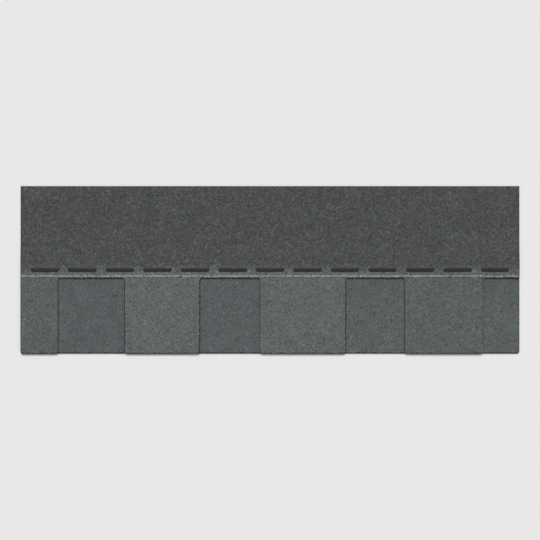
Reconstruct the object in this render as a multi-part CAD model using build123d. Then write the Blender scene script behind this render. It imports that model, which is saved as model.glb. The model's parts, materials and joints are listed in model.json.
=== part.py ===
from build123d import *
from itertools import cycle
import os

# A laminated asphalt roof shingle, lying granule side up on a level floor.
# It is two sheets of asphalt on glass mat: a face sheet with teeth cut in its lower
# half, bonded on a plain backing sheet that shows in the slots between the teeth.
# Millimetres. X runs along the roof course, +Y up the slope and +Z up.
# The origin is at floor level, under the middle of the outline.

# The cutting drum's pattern along the butt edge, from the left end of the shingle:
# the width of each tooth, and of the slot on its right. It repeats along the strip.
tooth_and_slot_widths = [(78.0, 138.5), (156.5, 125.0), (178.5, 122.5), (163.0, 76.0)]

# Face sheet
shingle_length = 1038.0  # cut from the toothed strip
shingle_height = 349.0
face_thickness = 2.4
exposure = 149.0  # height of a course, the part that the next course leaves showing
slot_overrun = 8.0  # the slots run on this far under the next course
tooth_corner_radius = 5.0  # lower corners of the teeth and of the backing
slot_corner_radius = 5.0  # upper corners of the slots

# Backing sheet
backing_thickness = 2.4
bond_height = 27.0  # band above the slots where the backing holds the whole face sheet
butt_setback = 0.8  # the backing stops this far short of the tooth ends

# The free upper part of the face sheet sags from the backing to the floor over this run
sag_run = 60.0

# Seal strip: bitumen dashes on the bond band, which hold down the next course
dash_length = 60.0
dash_width = 10.0
dash_thickness = 1.0
dash_gap = 18.0
dash_chamfer = 0.4  # round the dashes' upper edge
seal_to_backing_edge = 9.0  # from the dashes' middle line to the backing's upper edge
seal_end_margin = 12.0  # least bare length at each end of the shingle

# Sizes that follow from those above
slot_depth = exposure + slot_overrun
backing_height = slot_depth + bond_height
left_end = -shingle_length / 2
right_end = shingle_length / 2
butt_edge = -shingle_height / 2
top_edge = shingle_height / 2
slot_top = butt_edge + slot_depth
backing_edge = butt_edge + backing_height
face_top = backing_thickness + face_thickness
same_place = 0.01  # two heights closer than this are one


def slot_spans():
    """Left edge and width of each slot that starts within the shingle's length."""
    spans = []
    x = left_end
    for tooth, slot in cycle(tooth_and_slot_widths):
        if x + tooth >= right_end - same_place:
            return spans
        spans.append((x + tooth, slot))
        x += tooth + slot


def corners_at(outline, y):
    """Corners of a flat outline that lie on one line along the shingle."""
    return outline.vertices().filter_by_position(Axis.Y, y - same_place, y + same_place)


def toothed_outline():
    """The face sheet from above: a rectangle less its slots, with its corners eased."""
    outline = Rectangle(shingle_length, shingle_height)
    for start, width in slot_spans():
        slot = Rectangle(width, slot_depth, align=(Align.MIN, Align.MIN))
        outline -= Pos(start, butt_edge) * slot
    outline = fillet(corners_at(outline, butt_edge), tooth_corner_radius)
    within = (left_end + same_place, right_end - same_place)
    slot_corners = corners_at(outline, slot_top).filter_by_position(Axis.X, *within)
    return fillet(slot_corners, slot_corner_radius)


def sagging_section():
    """The face sheet from its end: level on the backing, an S bend, then level on the floor."""
    butt = (butt_edge, backing_thickness)
    bend_start = (backing_edge, backing_thickness)
    bend_middle = (backing_edge + sag_run / 2, backing_thickness / 2)
    bend_end = (backing_edge + sag_run, 0)
    top = (top_edge, 0)
    underside = Curve() + [
        Line(butt, bend_start),
        TangentArc(bend_start, bend_middle, tangent=(1, 0)),
        TangentArc(bend_end, bend_middle, tangent=(-1, 0)),
        Line(bend_end, top),
    ]
    face_side = Pos(0, face_thickness) * underside
    butt_side = Line(butt, (butt_edge, face_top))
    top_side = Line(top, (top_edge, face_thickness))
    return make_face(underside.edges() + face_side.edges() + [butt_side, top_side])


def face_sheet():
    """The toothed upper sheet."""
    section = Plane.YZ * sagging_section()
    sheet = extrude(section, amount=shingle_length / 2, both=True)
    return sheet & extrude(toothed_outline(), amount=face_top)


def backing_sheet():
    """The plain lower sheet, as long as the face sheet and lying on the floor."""
    low_edge = butt_edge + butt_setback
    outline = Rectangle(shingle_length, backing_edge - low_edge, align=(Align.CENTER, Align.MIN))
    outline = Pos(0, low_edge) * outline
    outline = fillet(corners_at(outline, low_edge), tooth_corner_radius)
    return extrude(outline, amount=backing_thickness)


def seal_strip():
    """The row of dashes, as many as the shingle's length holds, centred on it."""
    pitch = dash_length + dash_gap
    count = int((shingle_length - 2 * seal_end_margin + dash_gap) // pitch)
    dash = extrude(SlotOverall(dash_length, dash_width), amount=dash_thickness)
    dash = chamfer(dash.faces().sort_by(Axis.Z)[-1].edges(), dash_chamfer)
    y = backing_edge - seal_to_backing_edge
    first = -pitch * (count - 1) / 2
    return Compound([Pos(first + pitch * i, y, face_top) * dash for i in range(count)])


os.makedirs("parts", exist_ok=True)
export_step(face_sheet(), "parts/face_sheet.step")
export_step(backing_sheet(), "parts/backing_sheet.step")
export_step(seal_strip(), "parts/seal_strip.step")
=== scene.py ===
import bpy
import json
import math
import numpy as np
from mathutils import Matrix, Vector


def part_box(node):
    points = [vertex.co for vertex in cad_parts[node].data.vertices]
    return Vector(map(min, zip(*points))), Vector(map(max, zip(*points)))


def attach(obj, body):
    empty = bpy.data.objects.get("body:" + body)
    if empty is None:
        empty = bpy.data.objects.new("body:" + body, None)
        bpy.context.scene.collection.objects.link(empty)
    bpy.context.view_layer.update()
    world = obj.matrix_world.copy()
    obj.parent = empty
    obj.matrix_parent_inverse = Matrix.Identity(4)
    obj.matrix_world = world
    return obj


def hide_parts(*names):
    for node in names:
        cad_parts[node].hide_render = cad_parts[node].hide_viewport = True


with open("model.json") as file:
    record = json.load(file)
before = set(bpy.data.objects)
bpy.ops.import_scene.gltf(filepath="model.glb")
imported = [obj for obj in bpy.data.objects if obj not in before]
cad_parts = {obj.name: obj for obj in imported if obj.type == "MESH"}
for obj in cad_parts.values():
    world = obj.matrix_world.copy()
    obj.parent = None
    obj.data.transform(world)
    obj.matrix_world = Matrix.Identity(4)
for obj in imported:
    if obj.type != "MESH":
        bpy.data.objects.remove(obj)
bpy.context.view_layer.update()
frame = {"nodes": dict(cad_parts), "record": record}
record = frame["record"]

# Places on the shingle, all from the frame. Metres, x along it and y up from its butt edge.
faceLow, faceHigh = (np.array(c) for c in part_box("face_sheet"))
backLow, backHigh = (np.array(c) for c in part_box("backing_sheet"))
dashLow, dashHigh = (np.array(c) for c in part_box("seal_strip"))
leftEnd, rightEnd = faceLow[0], faceHigh[0]
buttEdge, topEdge = faceLow[1], faceHigh[1]
backTop, faceTop = backHigh[2], dashLow[2]  # the dashes lie on the face sheet
dashMiddle = (dashLow[1] + dashHigh[1]) / 2
boxInset = 0.002  # the record's slot boxes stay this far inside the slots
slotBoxes = [np.array(o["box_m"]) for o in record["physics"]["openings"]]
slotSpans = [(b[0, 0] - boxInset, min(b[1, 0] + boxInset, rightEnd)) for b in slotBoxes]
slotTop = slotBoxes[0][1, 1] + boxInset
toothSpans = list(zip([leftEnd] + [s[1] for s in slotSpans], [s[0] for s in slotSpans]))
nailY = next(m["pos_m"][1] for m in record["mounts"] if m["name"] == "nail_line")
print("frame read:", len(toothSpans), "teeth and", len(slotSpans), "slots")


# Where the random draws start
seeds = {
    "teeth": 100,
    "slots": 300,
    "headlap": 500,
    "nextBed": 10,
    "nextStrip": 100,
    "margins": 1,  # a bed's wandering lines add these to its own seed, and one more for each side
    "lostGrains": 7,
    "bentRows": 5,
    "bentUp": 6,
    "dashSides": 620,
    "dashBends": 660,
    "dashLumps": 700,
    "shadeLine": 900,
    "blendLine": 901,
    "nailLine": 902,
}

# Granules: one crushed mineral grain is a low six-sided peak on a jittered lattice
granules = {
    "facePitch": 0.00150,  # between neighbouring grains where a laid shingle shows
    "headPitch": 0.00186,  # and where it is covered
    "height": 0.00062,  # of the tallest grain above the asphalt
    "peaks": (0.60, 1.0),  # the least and the most of it that a grain has
    "hollows": (0.0, 0.26),  # and the asphalt between grains
    "missing": 0.15,  # what is left of it where a grain is missing
    "rimHeight": 0.45,  # share of its height that a point on a bed's rim keeps
    "sink": 0.00030,  # how far a bed goes down into its sheet
    "jitter": 0.30,  # of the lattice's step
    "rimJitter": 0.5,  # share of it on a bed's rim
    "thinnest": 0.12,  # least area of a triangle, as a share of the usual one
    "unfoldings": 4,  # rounds in which folded triangles are undone
    "clumping": 0.45,  # how much alike neighbouring grains are
    "paleClumping": 1.7,  # the same for the choice between the light and the slate blend
    "drift": 0.0012,  # the rows bend this far
    "driftLengths": (0.071, 0.029),
    "driftSlant": 0.4,  # the bends of neighbouring rows lean this much
    "driftFade": 12,  # the bends die away over the last twelfth of a bed
    "bald": 0.010,  # share of grains that are missing
    "baldEdge": 0.22,  # and the same right at a cut edge
    "edgeWear": 0.0022,  # how far in the edge's wear reaches
    "sideMargin": 0.00030,  # bare asphalt along a cut edge
    "buttMargin": 0.00060,
    "wallMargin": 0.00016,  # bare asphalt at the foot of a tooth's side
    "ragged": 0.65,  # how far a margin comes and goes
    "lostIn": (0.0004, 0.0004, 0.0024, 0.0004),  # grains are lost up to this far in from each side
    "lostLengths": (0.031, 0.013, 0.0071, 0.0043),
    "lap": 0.0014,  # neighbouring beds run into each other this far
    "buttCorner": 0.0050,  # radius of the sheets' lower corners
    "slotCorner": 0.0050,  # radius of a slot's upper corners
    "mostFlare": 0.5,  # of that radius, by which a tooth's side is carried out into the corner
}

# How a bed lies in its cell of the map: the granules above, and the skirt and underside below them.
# Each strip has its start and its height, as shares of the cell's height.
mapCells = {
    "top": (0.03, 0.965),
    "hem": (0.003, 0.015),
    "sideGap": 0.004,  # between a cell's side and its bed
    "edgeGap": 0.002,  # between the cells and the map's edge
    "rowShare": 0.996,  # of a row's height that its cell takes
}

# Each list goes from the shingle's left end to its right. How pale a block is runs from 0, all slate
# granules, to 1, all light ones.
blocks = {
    "teeth": [0.36, 0.99, 0.87, 0.35],
    "slots": [0.03, 0.08, 0.35, 0.335],
    "shade": [0.0, 0.0, 0.050, 0.047],  # height of the dark band at the top of each slot
    "shadeBlur": 0.036,
    "shadeWave": 0.0015,
    "warmTeeth": [0.50, 0.0, 0.15, 0.27],  # share of each block's grains that are a little browner
    "warmSlots": [0.05, 0.0, 0.36, 0.47],
    # How worn and bare the shingle's left end is, then each side between two blocks, then its right end
    "lines": [1.0, 0.25, 0.65, 0.95, 0.2, 1.3, 0.03, 0.1, 1.0],
}

headlap = {
    "strips": 3,
    "bedsAlong": 4,
    "blendStart": 0.010,  # above the slots, where the face's blend gives way to the plain one
    "blendEnd": 0.030,
    "blendWave": 0.002,
    "lineWidth": 0.0034,  # the painted nail line
    "lineCover": 0.76,
    "lineWave": 0.0004,
}

wanderLengths = (0.047, 0.019, 0.0083, 0.0037)
wanderGain = 1.6  # a mean of sines is small, so it is raised and then cut off at -1 and 1


def wander(t, seed, lengths=wanderLengths):
    # A smooth random line between -1 and 1: the mean of sines of these lengths at random phases
    phase = np.random.default_rng(seed).uniform(0, 2 * math.pi, len(lengths))
    t = np.asarray(t)[..., None]
    sines = np.sin(2 * math.pi * t / np.array(lengths) + phase)
    return np.clip(sines.mean(-1) * wanderGain, -1, 1)


def roundCorner(x, y, corner, outwards, radius):
    # Squeezes a corner's square into a quarter disc. Counted from the arc's centre in radii, (a, b)
    # goes to (a sqrt(1 - b^2 / 2), b sqrt(1 - a^2 / 2)), which leaves the inner sides in place.
    mostRadii = 1.2  # ragged points may stand out past the corner, which is at 1
    sx, sy = outwards
    cx, cy = corner[0] - sx * radius, corner[1] - sy * radius
    a = np.clip((x - cx) * sx / radius, 0, mostRadii)
    b = np.clip((y - cy) * sy / radius, 0, mostRadii)
    within = (a > 0) & (b > 0)
    return (
        np.where(within, cx + sx * radius * a * np.sqrt(1 - b**2 / 2), x),
        np.where(within, cy + sy * radius * b * np.sqrt(1 - a**2 / 2), y),
    )


def flare(x, y, sideX, outwards):
    # Carries a tooth's side out into the round upper corner of the slot beside it: by
    # r - sqrt(r^2 - t^2), t above the arc's start, and by nothing 2 r in from the side
    r = granules["slotCorner"]
    t = np.clip(y - (slotTop - r), 0, r)
    out = np.minimum(r - np.sqrt(r**2 - t**2), granules["mostFlare"] * r)
    return x + outwards * out * np.clip(1 - np.abs(x - sideX) / (2 * r), 0, 1)


def topProfile(node):
    # Height of the node's upper side against y: the highest of the points of its right end at each y,
    # and straight lines between them
    endDepth = 1e-5
    digits = 6  # points within a micrometre of each other are at one y
    me = frame["nodes"][node].data
    co = np.empty(len(me.vertices) * 3)
    me.vertices.foreach_get("co", co)
    co = co.reshape(-1, 3)
    end = co[co[:, 0] > co[:, 0].max() - endDepth]
    at, which = np.unique(end[:, 1].round(digits), return_inverse=True)
    high = np.full(len(at), -np.inf)
    np.maximum.at(high, which.ravel(), end[:, 2])
    return lambda y: np.interp(y, at, high)


def closedSheet(top, footZ):
    # A closed sheet from a grid of points: the grid, a skirt down to footZ, and an underside of one
    # strip for each row. Returns the points, the grid's point above each foot point, the four-sided
    # faces of skirt and underside, and the longer faces under the first and the last row.
    up, across = top.shape[:2]
    index = np.arange(up * across).reshape(up, across)
    ring = np.concatenate([index[0], index[1:, -1], index[-1, -2::-1], index[-2:0:-1, 0]])
    foot = top.reshape(-1, 3)[ring].copy()
    foot[:, 2] = footZ.ravel()[ring]
    footIndex = up * across + np.arange(len(ring))
    skirt = np.stack([footIndex, np.roll(footIndex, -1), np.roll(ring, -1), ring], 1)
    footOf = np.zeros(up * across, int)
    footOf[ring] = footIndex
    left, right = footOf[index[:, 0]], footOf[index[:, -1]]
    strips = np.stack([left[1:-2], left[2:-1], right[2:-1], right[1:-2]], 1)
    firstRow = np.concatenate([footOf[index[0]], [right[1], left[1]]])[::-1]
    lastRow = np.concatenate([footOf[index[-1]], [right[-2], left[-2]]])
    points = np.concatenate([top.reshape(-1, 3), foot])
    return points, ring, np.concatenate([skirt, strips]), [firstRow, lastRow]


def meshFrom(name, parts, finish):
    # One mesh from parts of points, triangles, quads and longer faces, in that order in each part
    corners, sizes, shift = [], [], 0
    for part in parts:
        for faces in (part["triangles"], part["quads"], *(f[None] for f in part["longer"])):
            corners.append(faces.ravel() + shift)
            sizes.append(np.full(len(faces), faces.shape[1]))
        shift += len(part["points"])
    points = np.concatenate([part["points"] for part in parts])
    corners, sizes = np.concatenate(corners), np.concatenate(sizes)
    me = bpy.data.meshes.new(name)
    me.vertices.add(len(points))
    me.vertices.foreach_set("co", points.ravel())
    me.loops.add(len(corners))
    me.loops.foreach_set("vertex_index", corners.astype(np.int32))
    me.polygons.add(len(sizes))
    me.polygons.foreach_set("loop_start", (np.cumsum(sizes) - sizes).astype(np.int32))
    me.update(calc_edges=True)
    me.materials.append(finish)
    piece = bpy.data.objects.new(name, me)
    bpy.context.scene.collection.objects.link(piece)
    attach(piece, "root")
    return piece, corners


def latticeFaces(up, across):
    # Two triangles for each cell of a lattice whose odd rows are shifted by half a step
    j, i = np.mgrid[0 : up - 1, 0 : across - 1]
    a = (j * across + i).ravel()
    b, c, d = a + 1, a + across, a + across + 1
    odd = (j % 2 == 1).ravel()[:, None]
    first = np.where(odd, np.stack([a, b, d], 1), np.stack([a, b, c], 1))
    second = np.where(odd, np.stack([a, d, c], 1), np.stack([b, d, c], 1))
    return np.concatenate([first, second])


def unfolded(calm, shaken, triangles):
    # The shaken places, but the calm ones for the corners of each triangle that the shake would fold
    # or make thin. A triangle's doubled area is (b - a) x (c - a).
    shape = calm[0].shape
    calm, shaken = (np.stack(places, -1).reshape(-1, 2) for places in (calm, shaken))
    for turn in range(granules["unfoldings"]):
        a, b, c = (shaken[triangles[:, n]] for n in range(3))
        area = (b - a)[:, 0] * (c - a)[:, 1] - (b - a)[:, 1] * (c - a)[:, 0]
        back = triangles[area < granules["thinnest"] * np.median(area)].ravel()
        shaken[back] = calm[back]
    return shaken.reshape(*shape, 2)[..., 0], shaken.reshape(*shape, 2)[..., 1]


def clumped(rng, shape, much):
    # Even chances from 0 to 1 that are a little alike for neighbours: noise, plus much times a second
    # noise that is evened out over a window of the lattice and raised to its old spread, in order
    reach = 2
    window = 2 * reach + 1
    each = rng.uniform(-1, 1, shape)
    shared = rng.uniform(-1, 1, shape)
    for axis in (0, 1):
        shared = sum(np.roll(shared, step, axis) for step in range(-reach, reach + 1)) / window
    mixture = each + much * window * shared
    order = np.empty(mixture.size)
    order[np.argsort(mixture, axis=None)] = np.arange(mixture.size)
    return (order / mixture.size).reshape(shape)


def edgeLosses(bed, offs, along):
    # How worn each point is, from 0 to 1 right at a side, and whether its grain is lost there. offs
    # are the distances from the four sides, along the places on them.
    wear, lost = np.zeros(offs[0].shape), np.zeros(offs[0].shape, bool)
    for n, (gap, much, off, t) in enumerate(zip(bed["margins"], bed["worn"], offs, along)):
        if gap > 0:
            wear = np.maximum(wear, 1 - off / (granules["edgeWear"] * much))
            line = wander(t, bed["seed"] + seeds["lostGrains"] + n, granules["lostLengths"])
            comesAndGoes = 0.5 + 0.5 * line
            lost |= off < granules["lostIn"][n] * much * comesAndGoes
    return wear, lost


def bentRows(bed, u, v):
    # x = left(y) + u (right(y) - left(y)) and y = low(x) + v (high(x) - low(x)), between four ragged
    # sides, and both bent by up to the drift away from the sides
    x0, x1, y0, y1 = bed["box"]
    xFlat = x0 + (x1 - x0) * u
    yFlat = y0 + (y1 - y0) * v
    along = (yFlat, yFlat, xFlat, xFlat)
    gapLeft, gapRight, gapLow, gapHigh = (
        gap * (1 + granules["ragged"] * wander(t, bed["seed"] + seeds["margins"] + n))
        for n, (gap, t) in enumerate(zip(bed["margins"], along))
    )
    left, right, low, high = x0 + gapLeft, x1 - gapRight, y0 + gapLow, y1 - gapHigh
    x = left + (right - left) * u
    y = low + (high - low) * v
    wear, lost = edgeLosses(bed, (x - left, right - x, y - low, high - y), along)
    fromSides = np.minimum(np.minimum(u, 1 - u), np.minimum(v, 1 - v))
    bend = granules["drift"] * np.clip(granules["driftFade"] * fromSides, 0, 1)
    slant, lengths = granules["driftSlant"], granules["driftLengths"]
    x += bend * wander(yFlat + slant * xFlat, bed["seed"] + seeds["bentRows"], lengths)
    y += bend * wander(xFlat - slant * yFlat, bed["seed"] + seeds["bentUp"], lengths)
    return x, y, wear, lost


def bedCorners(bed, x, y):
    # Fits the bed into the sheets' round corners, on its left and then on its right
    x0, x1, y0 = bed["box"][:3]
    gapLeft, gapRight, gapLow = bed["margins"][:3]
    for n, (sideX, gap, outwards) in enumerate(((x0, gapLeft, -1), (x1, gapRight, 1))):
        if bed["buttCorners"][n]:
            corner = (sideX - outwards * gap, y0 + gapLow)
            x, y = roundCorner(x, y, corner, (outwards, -1), granules["buttCorner"] - gap)
        if bed["slotCorners"][n]:
            x = flare(x, y, sideX, outwards)
    return x, y


def onMap(cell, strip, u, v):
    # A strip of the bed's cell, u across it and v up it
    u0, u1, v0, v1 = cell
    start, tall = strip
    return np.stack([u0 + (u1 - u0) * u, v0 + (v1 - v0) * (start + tall * v)], 1)


def granuleBed(bed):
    # A lattice of points over the bed's box, u and v from 0 to 1 over it, with its rows bent and each
    # point shaken. z = the sheet + a peak at every third point of the lattice and hollows between them.
    rng = np.random.default_rng(bed["seed"])
    x0, x1, y0, y1 = bed["box"]
    step, rowStep = bed["pitch"] / math.sqrt(3), bed["pitch"] / 2
    across = int(round((x1 - x0) / step)) + 1
    up = int(round((y1 - y0) / rowStep)) + 1
    j, i = np.mgrid[0:up, 0:across]
    u = (i + 0.5 * (j % 2)) / (across - 0.5)
    v = j / (up - 1)
    x, y, wear, lost = bentRows(bed, u, v)
    x, y = bedCorners(bed, x, y)
    rim = (i == 0) | (i == across - 1) | (j == 0) | (j == up - 1)
    shake = granules["jitter"] * step * np.where(rim, granules["rimJitter"], 1.0)
    triangles = latticeFaces(up, across)
    shaken = (x + rng.uniform(-1, 1, x.shape) * shake, y + rng.uniform(-1, 1, y.shape) * shake)
    x, y = unfolded((x, y), shaken, triangles)

    peak = (i - j // 2 - j) % 3 == 0  # each triangle has just one peak
    baldShare = granules["bald"] + (granules["baldEdge"] - granules["bald"]) * wear
    bald = (rng.uniform(size=x.shape) < baldShare) | lost
    peaks = rng.uniform(*granules["peaks"], x.shape)
    hollows = rng.uniform(*granules["hollows"], x.shape)
    rise = np.where(peak, np.where(bald, granules["missing"], peaks), hollows)
    rise = np.where(rim, granules["rimHeight"] * rise, rise)
    ground = bed["ground"](y)
    top = np.stack([x, y, ground + rise * granules["height"]], -1)
    points, ring, quads, longer = closedSheet(top, ground - granules["sink"])

    # What each grain is, which its six faces share
    x, y = x.ravel(), y.ravel()
    kinds = {
        "grain": clumped(rng, ground.shape, granules["clumping"]).ravel(),
        "pale": clumped(rng, ground.shape, granules["paleClumping"]).ravel() < bed["pale"](x, y),
    }
    for name in ("warm", "covered", "painted"):
        kinds[name] = rng.uniform(size=x.size) < bed[name](x, y)
    kinds["bare"] = bald.ravel()
    peakOf = triangles[np.arange(len(triangles)), np.argmax(peak.ravel()[triangles], axis=1)]
    below = np.zeros(len(quads) + len(longer))
    values = {name: np.concatenate([kind[peakOf], below]) for name, kind in kinds.items()}
    values["bare"][len(triangles):] = 1  # the skirt and the underside are asphalt

    # The foot points have the height and the place on the map of the points above them
    rise, u, v = (np.concatenate([grid.ravel(), grid.ravel()[ring]]) for grid in (rise, u, v))
    return {
        "points": points,
        "triangles": triangles,
        "quads": quads,
        "longer": longer,
        "values": values,
        "hollow": 1 - rise,
        "onTop": onMap(bed["cell"], mapCells["top"], u, v),
        "onHem": onMap(bed["cell"], mapCells["hem"], u, v),
    }


def cornersIn(part):
    return part["triangles"].size + part["quads"].size + sum(len(f) for f in part["longer"])


def addValues(me, name, domain, values):
    layer = me.attributes.new(name, "FLOAT", domain)
    layer.data.foreach_set("value", np.concatenate(values).astype(np.float32))


def granulePiece(name, beds):
    parts = [granuleBed(bed) for bed in beds]
    piece, corners = meshFrom(name, parts, granuleMat)
    me = piece.data
    for kind in parts[0]["values"]:
        addValues(me, kind, "FACE", [p["values"][kind] for p in parts])
    # How low each point lies, which the finish turns into painted shade between the grains
    addValues(me, "hollow", "POINT", [p["hollow"] for p in parts])
    onTop = np.concatenate([p["onTop"] for p in parts])[corners]
    onHem = np.concatenate([p["onHem"] for p in parts])[corners]
    upper = np.concatenate([np.arange(cornersIn(p)) < p["triangles"].size for p in parts])
    uv = np.where(upper[:, None], onTop, onHem)
    me.uv_layers.new(name="OFBake").uv.foreach_set("vector", uv.astype(np.float32).ravel())
    me.shade_flat()
    print(name, len(me.polygons), "faces")


# Node materials
def nodesFor(name):
    mat = bpy.data.materials.new(name)
    mat.use_nodes = True
    tree = mat.node_tree
    tree.nodes.clear()
    out = tree.nodes.new("ShaderNodeOutputMaterial")
    shader = tree.nodes.new("ShaderNodeBsdfPrincipled")
    tree.links.new(shader.outputs[0], out.inputs["Surface"])
    return mat, tree, shader


def add(tree, kind, **settings):
    node = tree.nodes.new(kind)
    for key, value in settings.items():
        setattr(node, key, value)
    return node


def feed(tree, sockets, values):
    # Each value is a socket to link or a plain value to set
    for socket, value in zip(sockets, values):
        if isinstance(value, bpy.types.NodeSocket):
            tree.links.new(value, socket)
        else:
            socket.default_value = value


def mixed(tree, how, factor, one, two):
    node = add(tree, "ShaderNodeMix", data_type="RGBA", blend_type=how)
    feed(tree, (node.inputs[0], node.inputs[6], node.inputs[7]), (factor, one, two))
    return node.outputs[2]


def arithmetic(tree, how, one, two=0.0):
    node = add(tree, "ShaderNodeMath", operation=how)
    feed(tree, node.inputs, (one, two))
    return node.outputs[0]


def remap(tree, value, used, to=(0.0, 1.0)):
    # Takes the range used to the range to, and what is outside it to the nearer end
    node = add(tree, "ShaderNodeMapRange")
    sockets = [node.inputs[name] for name in ("Value", "From Min", "From Max", "To Min", "To Max")]
    feed(tree, sockets, (value, *used, *to))
    return node.outputs[0]


def attribute(tree, name):
    return add(tree, "ShaderNodeAttribute", attribute_name=name).outputs["Fac"]


def axes(tree, vector):
    apart = add(tree, "ShaderNodeSeparateXYZ")
    tree.links.new(vector, apart.inputs[0])
    return apart.outputs


def palette(tree, fac, shares):
    # A ramp of flat steps: each colour takes its share of the grains
    ramp = add(tree, "ShaderNodeValToRGB")
    ramp.color_ramp.interpolation = "CONSTANT"
    stops = ramp.color_ramp.elements
    stops.remove(stops[1])
    total = sum(share for share, colour in shares)
    at = 0.0
    for n, (share, colour) in enumerate(shares):
        stop = stops[0] if n == 0 else stops.new(at)
        stop.position = at
        stop.color = (*colour, 1)
        at += share / total
    tree.links.new(fac, ramp.inputs[0])
    return ramp.outputs[0]


def noise(tree, scale, detail=3.0, rough=0.5, stretch=None):
    where = add(tree, "ShaderNodeTexCoord").outputs["Object"]
    if stretch:
        mapping = add(tree, "ShaderNodeMapping")
        mapping.inputs["Scale"].default_value = stretch
        tree.links.new(where, mapping.inputs["Vector"])
        where = mapping.outputs[0]
    node = add(tree, "ShaderNodeTexNoise")
    node.inputs["Scale"].default_value = scale
    node.inputs["Detail"].default_value = detail
    node.inputs["Roughness"].default_value = rough
    tree.links.new(where, node.inputs["Vector"])
    return node.outputs["Fac"]


usualNoise = (0.3, 0.7)  # nearly all of a noise lies between these


def mottled(tree, scale, used=usualNoise, to=(0.0, 1.0), **shape):
    return remap(tree, noise(tree, scale, **shape), used, to)


def bumped(tree, shader, height, strength, distance):
    bump = add(tree, "ShaderNodeBump")
    bump.inputs["Strength"].default_value = strength
    bump.inputs["Distance"].default_value = distance
    tree.links.new(height, bump.inputs["Height"])
    tree.links.new(bump.outputs[0], shader.inputs["Normal"])


# Each blend has its colours with their shares, and each noise its scale to the metre
minerals = {
    "slateBlend": [
        (10, (0.065, 0.073, 0.078)),
        (40, (0.096, 0.111, 0.115)),
        (34, (0.113, 0.130, 0.133)),
        (11, (0.144, 0.161, 0.159)),
        (5, (0.140, 0.135, 0.120)),
    ],
    "lightBlend": [
        (7, (0.074, 0.081, 0.083)),
        (24, (0.108, 0.122, 0.122)),
        (37, (0.132, 0.149, 0.145)),
        (20, (0.166, 0.182, 0.177)),
        (8, (0.168, 0.164, 0.147)),
        (4, (0.223, 0.240, 0.233)),
    ],
    "headBlend": [
        (22, (0.044, 0.046, 0.049)),
        (48, (0.070, 0.074, 0.077)),
        (24, (0.093, 0.098, 0.100)),
        (6, (0.136, 0.142, 0.140)),
    ],
    "warmTint": (1.0, 0.985, 0.945, 1),
    "patches": {"scale": 22, "detail": 2.0, "to": (0.945, 1.055)},  # paler and darker ones
    "hueDrift": {"scale": 31, "detail": 2.0},  # from the first of the next two to the second
    "coolDrift": (0.984, 1.0, 1.016, 1),
    "warmDrift": (1.016, 1.0, 0.984, 1),
    "withinGrain": {"scale": 2600, "detail": 2.0, "rough": 0.7,
                    "used": (0.25, 0.75), "to": (0.86, 1.14)},
    "linePaint": (0.31, 0.32, 0.31, 1),
    "creviceStart": 0.62,  # how far down the painted shade between grains starts
    "creviceTone": 0.45,  # and what that painted shade leaves of the colour at the bottom
    "asphalt": (0.012, 0.012, 0.013, 1),
    "roughness": {"scale": 900, "to": (0.72, 0.93)},
    "specular": 0.35,
    "facets": {"scale": 3400, "detail": 2.0, "rough": 0.6},
    "facetBump": (0.5, 0.00012),  # strength and height, in metres
}


def granuleFinish():
    mat, tree, shader = nodesFor("ceramic_coated_granules")
    grain = attribute(tree, "grain")
    slate = palette(tree, grain, minerals["slateBlend"])
    light = palette(tree, grain, minerals["lightBlend"])
    plain = palette(tree, grain, minerals["headBlend"])
    colour = mixed(tree, "MIX", attribute(tree, "pale"), slate, light)
    colour = mixed(tree, "MULTIPLY", attribute(tree, "warm"), colour, minerals["warmTint"])
    colour = mixed(tree, "MIX", attribute(tree, "covered"), colour, plain)
    colour = mixed(tree, "MULTIPLY", 1.0, colour, mottled(tree, **minerals["patches"]))
    hueDrift = mottled(tree, **minerals["hueDrift"])
    hueDrift = mixed(tree, "MIX", hueDrift, minerals["coolDrift"], minerals["warmDrift"])
    colour = mixed(tree, "MULTIPLY", 1.0, colour, hueDrift)
    colour = mixed(tree, "MULTIPLY", 1.0, colour, mottled(tree, **minerals["withinGrain"]))
    colour = mixed(tree, "MIX", attribute(tree, "painted"), colour, minerals["linePaint"])
    # Painted shade: the colour darkens down into the hollows between the grains
    deep, shadeTones = (minerals["creviceStart"], 1.0), (1.0, minerals["creviceTone"])
    shadeInGaps = remap(tree, attribute(tree, "hollow"), deep, shadeTones)
    colour = mixed(tree, "MULTIPLY", 1.0, colour, shadeInGaps)
    colour = mixed(tree, "MIX", attribute(tree, "bare"), colour, minerals["asphalt"])
    tree.links.new(colour, shader.inputs["Base Color"])
    tree.links.new(mottled(tree, **minerals["roughness"]), shader.inputs["Roughness"])
    shader.inputs["Specular IOR Level"].default_value = minerals["specular"]
    bumped(tree, shader, noise(tree, **minerals["facets"]), *minerals["facetBump"])
    return mat


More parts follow.
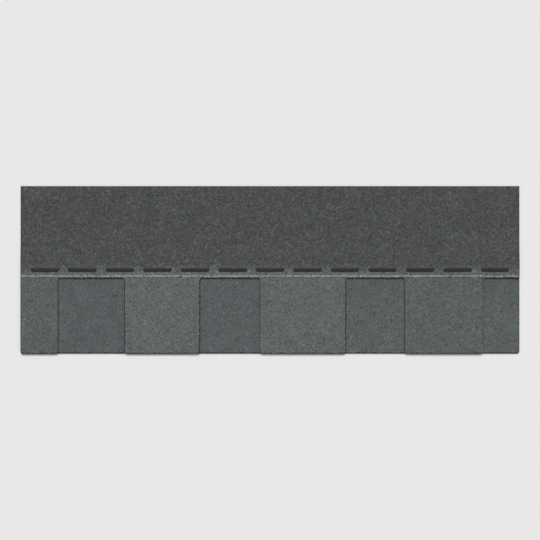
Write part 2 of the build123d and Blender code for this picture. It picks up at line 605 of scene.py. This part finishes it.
# The sheets' own asphalt: black where it is cut or bare, sanded underneath
sheets = {
    "black": (0.007, 0.007, 0.008, 1),
    "speck": (0.026, 0.026, 0.025, 1),
    "specks": {"scale": 1400, "rough": 0.7, "used": (0.52, 0.70)},
    "mat": (0.060, 0.057, 0.052, 1),  # ends of the glass mat's fibres, in the middle of a cut edge
    "matHalf": 0.00030,
    "fibres": {"scale": 700, "rough": 0.8, "stretch": (1, 1, 3), "used": (0.50, 0.60)},
    "edgeFacing": (0.5, 0.4),  # a face is a cut edge where its normal rises or falls less than this
    "underFacing": (-0.6, -0.8),  # and underneath where it falls more than this
    "sand": [
        (38, (0.032, 0.032, 0.032)),
        (12, (0.085, 0.083, 0.078)),
        (18, (0.042, 0.042, 0.041)),
        (32, (0.150, 0.144, 0.132)),
    ],
    "sandGrains": {"scale": 1500, "detail": 2.0, "rough": 0.8},
    "dust": {"scale": 9, "rough": 0.6, "used": (0.35, 0.65), "to": (0.75, 1.25)},
    "roughness": {"scale": 300, "to": (0.55, 0.8)},
    "specular": 0.3,
    "grit": {"scale": 1900, "rough": 0.7},
    "gritBump": (0.7, 0.0002),
    "film": (0.120, 0.122, 0.128, 1),  # release film, so that stacked shingles don't stick
    "filmWidth": 0.016,  # enough to cover a row of dashes
    "filmEdge": 0.0002,
    "filmRoughness": (0.2, 0.2, 0.2, 1),
    "filmCreases": {"scale": 60, "detail": 4.0, "rough": 0.7, "stretch": (0.3, 1, 1),
                    "used": (0.35, 0.65), "to": (0.8, 1.2)},
    "filmWrinkles": {"scale": 160, "detail": 4.0, "rough": 0.7, "stretch": (0.3, 1, 1)},
}


def filmOver(tree, y, isUnder, sand, rough, grit):
    # A strip of smoother, creased film on the sanded underside, right under the dashes
    half = sheets["filmWidth"] / 2
    off = arithmetic(tree, "ABSOLUTE", arithmetic(tree, "SUBTRACT", y, dashMiddle))
    onFilm = remap(tree, off, (half, half - sheets["filmEdge"]))
    plastic = mixed(tree, "MULTIPLY", 1.0, sheets["film"], mottled(tree, **sheets["filmCreases"]))
    sand = mixed(tree, "MIX", onFilm, sand, plastic)
    onFilm = arithmetic(tree, "MULTIPLY", onFilm, isUnder)
    rough = mixed(tree, "MIX", onFilm, rough, sheets["filmRoughness"])
    grit = mixed(tree, "MIX", onFilm, grit, noise(tree, **sheets["filmWrinkles"]))
    return sand, rough, grit


def asphaltFinish(name, film):
    mat, tree, shader = nodesFor(name)
    place = axes(tree, add(tree, "ShaderNodeTexCoord").outputs["Object"])
    facing = axes(tree, add(tree, "ShaderNodeNewGeometry").outputs["True Normal"])
    black = mixed(tree, "MIX", mottled(tree, **sheets["specks"]), sheets["black"], sheets["speck"])
    half = backTop / 2
    depth = arithmetic(tree, "PINGPONG", place["Z"], half)  # below the nearer face of the sheet
    inMat = remap(tree, depth, (half - sheets["matHalf"], half))
    fibres = arithmetic(tree, "MULTIPLY", inMat, mottled(tree, **sheets["fibres"]))
    edge = mixed(tree, "MIX", fibres, black, sheets["mat"])
    isEdge = remap(tree, arithmetic(tree, "ABSOLUTE", facing["Z"]), sheets["edgeFacing"])
    colour = mixed(tree, "MIX", isEdge, black, edge)

    sand = palette(tree, mottled(tree, **sheets["sandGrains"]), sheets["sand"])
    sand = mixed(tree, "MULTIPLY", 1.0, sand, mottled(tree, **sheets["dust"]))
    isUnder = remap(tree, facing["Z"], sheets["underFacing"])
    rough = mottled(tree, **sheets["roughness"])
    grit = noise(tree, **sheets["grit"])
    if film:
        sand, rough, grit = filmOver(tree, place["Y"], isUnder, sand, rough, grit)
    tree.links.new(mixed(tree, "MIX", isUnder, colour, sand), shader.inputs["Base Color"])
    tree.links.new(rough, shader.inputs["Roughness"])
    shader.inputs["Specular IOR Level"].default_value = sheets["specular"]
    bumped(tree, shader, grit, *sheets["gritBump"])
    return mat


bitumen = {
    "black": (0.0085, 0.0083, 0.0085, 1),
    "dust": (0.045, 0.044, 0.042, 1),
    "dustSpecks": {"scale": 2400, "detail": 2.0, "rough": 0.7,
                   "used": (0.62, 0.72), "to": (0.0, 0.7)},
    "roughness": {"scale": 120, "rough": 0.6, "to": (0.38, 0.58)},
    "specular": 0.28,
    "ripples": {"scale": 420, "rough": 0.55, "stretch": (0.5, 1, 1)},
    "rippleBump": (0.5, 0.0003),
}


def bitumenFinish():
    mat, tree, shader = nodesFor("seal_bitumen")
    dusty = mottled(tree, **bitumen["dustSpecks"])
    colour = mixed(tree, "MIX", dusty, bitumen["black"], bitumen["dust"])
    tree.links.new(colour, shader.inputs["Base Color"])
    tree.links.new(mottled(tree, **bitumen["roughness"]), shader.inputs["Roughness"])
    shader.inputs["Specular IOR Level"].default_value = bitumen["specular"]
    bumped(tree, shader, noise(tree, **bitumen["ripples"]), *bitumen["rippleBump"])
    return mat


granuleMat = granuleFinish()
for node in ("face_sheet", "backing_sheet"):
    slots = frame["nodes"][node].data.materials
    finish = asphaltFinish(node + "_asphalt", film=node == "backing_sheet")
    for n in range(len(slots)):
        slots[n] = finish
print("finishes made")


def everywhere(value):
    return lambda x, y: np.full_like(x, value)


def sideBySide(spans):
    # Each bed's cell of the map, as wide as its share of the piece
    ends = np.cumsum([0] + [b - a for a, b in spans])
    ends = ends / ends[-1]
    sideGap, edgeGap = mapCells["sideGap"], mapCells["edgeGap"]
    cells = zip(ends[:-1], ends[1:])
    return [(a + sideGap, b - sideGap, edgeGap, 1 - edgeGap) for a, b in cells]


nowhere = everywhere(0.0)
onFace, onBacking = topProfile("face_sheet"), lambda y: np.full_like(y, backTop)
side, butt, wall, lap = (granules[k] for k in ("sideMargin", "buttMargin", "wallMargin", "lap"))


# A bed's four margins, and how worn they are, go left, right, lower and upper
def toothBed(n, cell):
    x0, x1 = toothSpans[n]
    leftLine, rightLine = blocks["lines"][2 * n : 2 * n + 2]
    return {
        "box": (x0, x1, buttEdge, slotTop + lap),
        "margins": (side * leftLine, side * rightLine, butt, 0.0),
        "worn": (leftLine, rightLine, 1.0, 1.0),
        "buttCorners": (True, True),
        "slotCorners": (n > 0, True),
        "pitch": granules["facePitch"],
        "ground": onFace,
        "pale": everywhere(blocks["teeth"][n]),
        "warm": everywhere(blocks["warmTeeth"][n]),
        "covered": nowhere,
        "painted": nowhere,
        "cell": cell,
        "seed": seeds["teeth"] + seeds["nextBed"] * n,
    }


def slotBed(n, cell):
    x0, x1 = slotSpans[n]
    leftLine, rightLine = blocks["lines"][2 * n + 1 : 2 * n + 3]
    last = n == len(slotSpans) - 1
    shadeLine = slotTop - blocks["shade"][n]

    def pale(x, y):
        wavy = shadeLine + blocks["shadeWave"] * wander(x, seeds["shadeLine"])
        return blocks["slots"][n] * np.clip(0.5 - (y - wavy) / blocks["shadeBlur"], 0, 1)

    return {
        "box": (x0, x1, backLow[1], slotTop),
        "margins": (wall * leftLine, side if last else wall * rightLine, butt, wall),
        "worn": (leftLine, rightLine, 1.0, 1.0),
        "buttCorners": (False, last),
        "slotCorners": (False, False),
        "pitch": granules["facePitch"],
        "ground": onBacking,
        "pale": pale,
        "warm": everywhere(blocks["warmSlots"][n]),
        "covered": nowhere,
        "painted": nowhere,
        "cell": cell,
        "seed": seeds["slots"] + seeds["nextBed"] * n,
    }


for where, picked in (("outer", (0, 3)), ("inner", (1, 2))):
    cells = sideBySide([toothSpans[n] for n in picked])
    beds = [toothBed(n, cell) for n, cell in zip(picked, cells)]
    granulePiece("tooth_granules_" + where, beds)
    cells = sideBySide([slotSpans[n] for n in picked])
    beds = [slotBed(n, cell) for n, cell in zip(picked, cells)]
    granulePiece("slot_granules_" + where, beds)


def headPale(x, y):
    # Each tooth's blend carried on up, and a line between two teeth's across the slot's width
    ends = [end for span in toothSpans for end in span]
    return np.interp(x, ends, np.repeat(blocks["teeth"], 2))


def headCovered(x, y):
    above = y - slotTop - headlap["blendWave"] * wander(x, seeds["blendLine"])
    run = headlap["blendEnd"] - headlap["blendStart"]
    return np.clip((above - headlap["blendStart"]) / run, 0, 1)


def nailLine(x, y):
    off = np.abs(y - nailY - headlap["lineWave"] * wander(x, seeds["nailLine"]))
    return headlap["lineCover"] * (off < headlap["lineWidth"] / 2)


stripEnds = np.linspace(slotTop, topEdge, headlap["strips"] + 1)
bedEnds = np.linspace(leftEnd, rightEnd, headlap["bedsAlong"] + 1)


def headBed(n, m):
    # Bed m along strip n, which runs into the next ones on its right and above it
    first, final = m == 0, m == headlap["bedsAlong"] - 1
    lowest, highest = n == 0, n == headlap["strips"] - 1
    edgeGap, rows = mapCells["edgeGap"], headlap["bedsAlong"]
    return {
        "box": (bedEnds[m], bedEnds[m + 1] + (0 if final else lap),
                stripEnds[n], stripEnds[n + 1] + (0 if highest else lap)),
        "margins": tuple(side if cut else 0.0 for cut in (first, final, lowest, highest)),
        "worn": (1.0, 1.0, 1.0, 1.0),
        "buttCorners": (False, False),
        "slotCorners": (False, False),
        "pitch": granules["headPitch"],
        "ground": onFace,
        "pale": headPale,
        "warm": nowhere,
        "covered": headCovered,
        "painted": nailLine,
        "cell": (edgeGap, 1 - edgeGap, m / rows, (m + mapCells["rowShare"]) / rows),
        "seed": seeds["headlap"] + seeds["nextStrip"] * n + seeds["nextBed"] * m,
    }


for n in range(headlap["strips"]):
    beds = [headBed(n, m) for m in range(headlap["bedsAlong"])]
    granulePiece(f"headlap_granules_{n + 1}", beds)


# Seal dashes: hot bitumen laid in a row, which spreads unevenly and sets with round shoulders
dashes = {
    "length": 0.060,
    "pitch": 0.078,
    "along": 60,  # points along a dash
    "round": 16,  # and from side to side over it
    "spacing": 0.9,  # under 1 brings the points along it nearer to its ends
    "endGap": 0.0002,  # how far it stops short of the CAD dash's ends
    "fill": 0.985,  # of the CAD dash's height
    "bluntness": 0.02,  # more makes its ends blunter
    "fullStart": 1.02,  # over 1 brings its full height nearer to its ends
    "shoulder": 3,  # more makes its shoulders squarer
    "uneven": 0.05,  # how much narrower it is in places
    "unevenLengths": (0.031, 0.013, 0.0061),
    "bend": 0.0002,  # of its middle line, where it is nearly full width
    "bendFrom": 0.9,
    "bendLengths": (0.047, 0.021),
    "lumps": 0.10,  # how much lower it is in places
    "lumpLengths": (0.017, 0.0071),
    "lumpSlant": 0.6,
    "sink": 0.0002,  # how far it goes down into the face sheet
}


def sealDash(start, n):
    # y = the middle line + h(u) sin(v), and z = the sheet + t (1 - |sin v|^3)^(1/2) e(u): u runs along
    # the dash, v across it. h is the half width, which is round at both ends, and e falls off there.
    halfLength, halfWidth = dashes["length"] / 2, (dashHigh[1] - dashLow[1]) / 2
    tall = (dashHigh[2] - dashLow[2]) * dashes["fill"]
    turn = np.linspace(-math.pi / 2, math.pi / 2, dashes["along"])
    roll = np.linspace(-math.pi / 2, math.pi / 2, dashes["round"])
    v, u = np.meshgrid(roll, turn, indexing="ij")
    along = np.sign(np.sin(u)) * np.abs(np.sin(u)) ** dashes["spacing"]
    x = start + along * (halfLength - dashes["endGap"])
    fromEnd = halfLength - np.abs(along) * halfLength
    inEnd = np.clip(1 - fromEnd / halfWidth, 0, 1)
    roundEnd = np.sqrt(np.clip(1 - inEnd**2, dashes["bluntness"], 1))
    sides = wander(x, seeds["dashSides"] + n, dashes["unevenLengths"])
    uneven = 1 - dashes["uneven"] * (1 + sides) / 2
    y = dashMiddle + halfWidth * roundEnd * uneven * np.sin(v)
    bends = wander(x, seeds["dashBends"] + n, dashes["bendLengths"])
    y = y + dashes["bend"] * bends * (roundEnd > dashes["bendFrom"])
    shoulder = np.sqrt(np.clip(1 - np.abs(np.sin(v)) ** dashes["shoulder"], 0, 1))
    lumpy = wander(x + dashes["lumpSlant"] * y, seeds["dashLumps"] + n, dashes["lumpLengths"])
    lumps = 1 - dashes["lumps"] * (1 + lumpy) / 2
    z = faceTop + tall * shoulder * np.minimum(1, roundEnd * dashes["fullStart"]) * lumps
    top = np.stack([x, y, z], -1)
    footZ = np.full(x.shape, faceTop - dashes["sink"])
    points, ring, quads, longer = closedSheet(top, footZ)
    index = np.arange(x.size).reshape(x.shape)
    grid = np.stack([index[:-1, :-1], index[:-1, 1:], index[1:, 1:], index[1:, :-1]], -1)
    return {
        "points": points,
        "triangles": np.empty((0, 3), int),
        "quads": np.concatenate([grid.reshape(-1, 4), quads]),
        "longer": longer,
    }


def sealDashes():
    span = dashHigh[0] - dashLow[0]
    count = int(round((span - dashes["length"]) / dashes["pitch"])) + 1
    first = dashLow[0] + dashes["length"] / 2
    parts = [sealDash(first + dashes["pitch"] * n, n) for n in range(count)]
    piece = meshFrom("seal_dashes", parts, bitumenFinish())[0]
    piece.data.shade_smooth()
    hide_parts("seal_strip")
    print("seal dashes laid:", count)


sealDashes()


studio = {
    "floorColour": (0.80, 0.80, 0.79, 1),
    "floorRoughness": 0.9,
    "floorSpecular": 0.1,
    "floorReach": 30.0,  # to each side
    "skyColour": (1, 1, 1, 1),
    "sky": 0.42,  # strength of its light
    "shownSky": (0.80, 0.80, 0.80, 1),
    "lampFrom": (-0.25, 3.75, 4.6),  # from the top of the photograph
    "lampStrength": 2.41,
    "lampSpread": 22.0,  # degrees that the soft lamp fills
    "viewWidth": 1.125,
    "lens": 85.0,
    "sensor": 36.0,
    "nearest": 0.05,  # what the camera still sees, and the farthest
    "farthest": 100,
}


def studioWorld():
    world = bpy.data.worlds.new("studio_sky")
    bpy.context.scene.world = world
    world.use_nodes = True
    tree = world.node_tree
    tree.nodes.clear()
    out = add(tree, "ShaderNodeOutputWorld")
    sky, shown = add(tree, "ShaderNodeBackground"), add(tree, "ShaderNodeBackground")
    sky.inputs["Color"].default_value = studio["skyColour"]
    sky.inputs["Strength"].default_value = studio["sky"]
    shown.inputs["Color"].default_value = studio["shownSky"]
    rays = add(tree, "ShaderNodeLightPath").outputs
    either = arithmetic(tree, "MAXIMUM", rays["Is Camera Ray"], rays["Is Glossy Ray"])
    mix = add(tree, "ShaderNodeMixShader")
    feed(tree, mix.inputs, (either, sky.outputs[0], shown.outputs[0]))
    tree.links.new(mix.outputs[0], out.inputs[0])


def studioLamp():
    lamp = bpy.data.lights.new("soft_lamp", "SUN")
    lamp.energy = studio["lampStrength"]
    lamp.angle = math.radians(studio["lampSpread"])
    placed = bpy.data.objects.new("soft_lamp", lamp)
    bpy.context.scene.collection.objects.link(placed)
    placed.location = Vector(studio["lampFrom"])
    placed.rotation_euler = (-placed.location).to_track_quat("-Z", "Y").to_euler()


def studioFloor():
    r = studio["floorReach"]
    me = bpy.data.meshes.new("floor")
    me.from_pydata([(-r, -r, 0), (r, -r, 0), (r, r, 0), (-r, r, 0)], [], [(0, 1, 2, 3)])
    floor = bpy.data.objects.new("floor", me)
    bpy.context.scene.collection.objects.link(floor)
    mat, tree, shader = nodesFor("pale_floor")
    shader.inputs["Base Color"].default_value = studio["floorColour"]
    shader.inputs["Roughness"].default_value = studio["floorRoughness"]
    shader.inputs["Specular IOR Level"].default_value = studio["floorSpecular"]
    me.materials.append(mat)


def photoCamera():
    # Straight above the shingle, with its top edge at the top of the picture
    cam = bpy.data.cameras.new("photo_view")
    cam.lens, cam.sensor_width = studio["lens"], studio["sensor"]
    cam.clip_start, cam.clip_end = studio["nearest"], studio["farthest"]
    placed = bpy.data.objects.new("photo_view", cam)
    bpy.context.scene.collection.objects.link(placed)
    placed.location = (0, 0, studio["viewWidth"] * studio["lens"] / studio["sensor"])
    bpy.context.scene.camera = placed


studioWorld()
studioLamp()
studioFloor()
photoCamera()
bpy.context.scene.view_settings.view_transform = "Standard"
print("studio set")
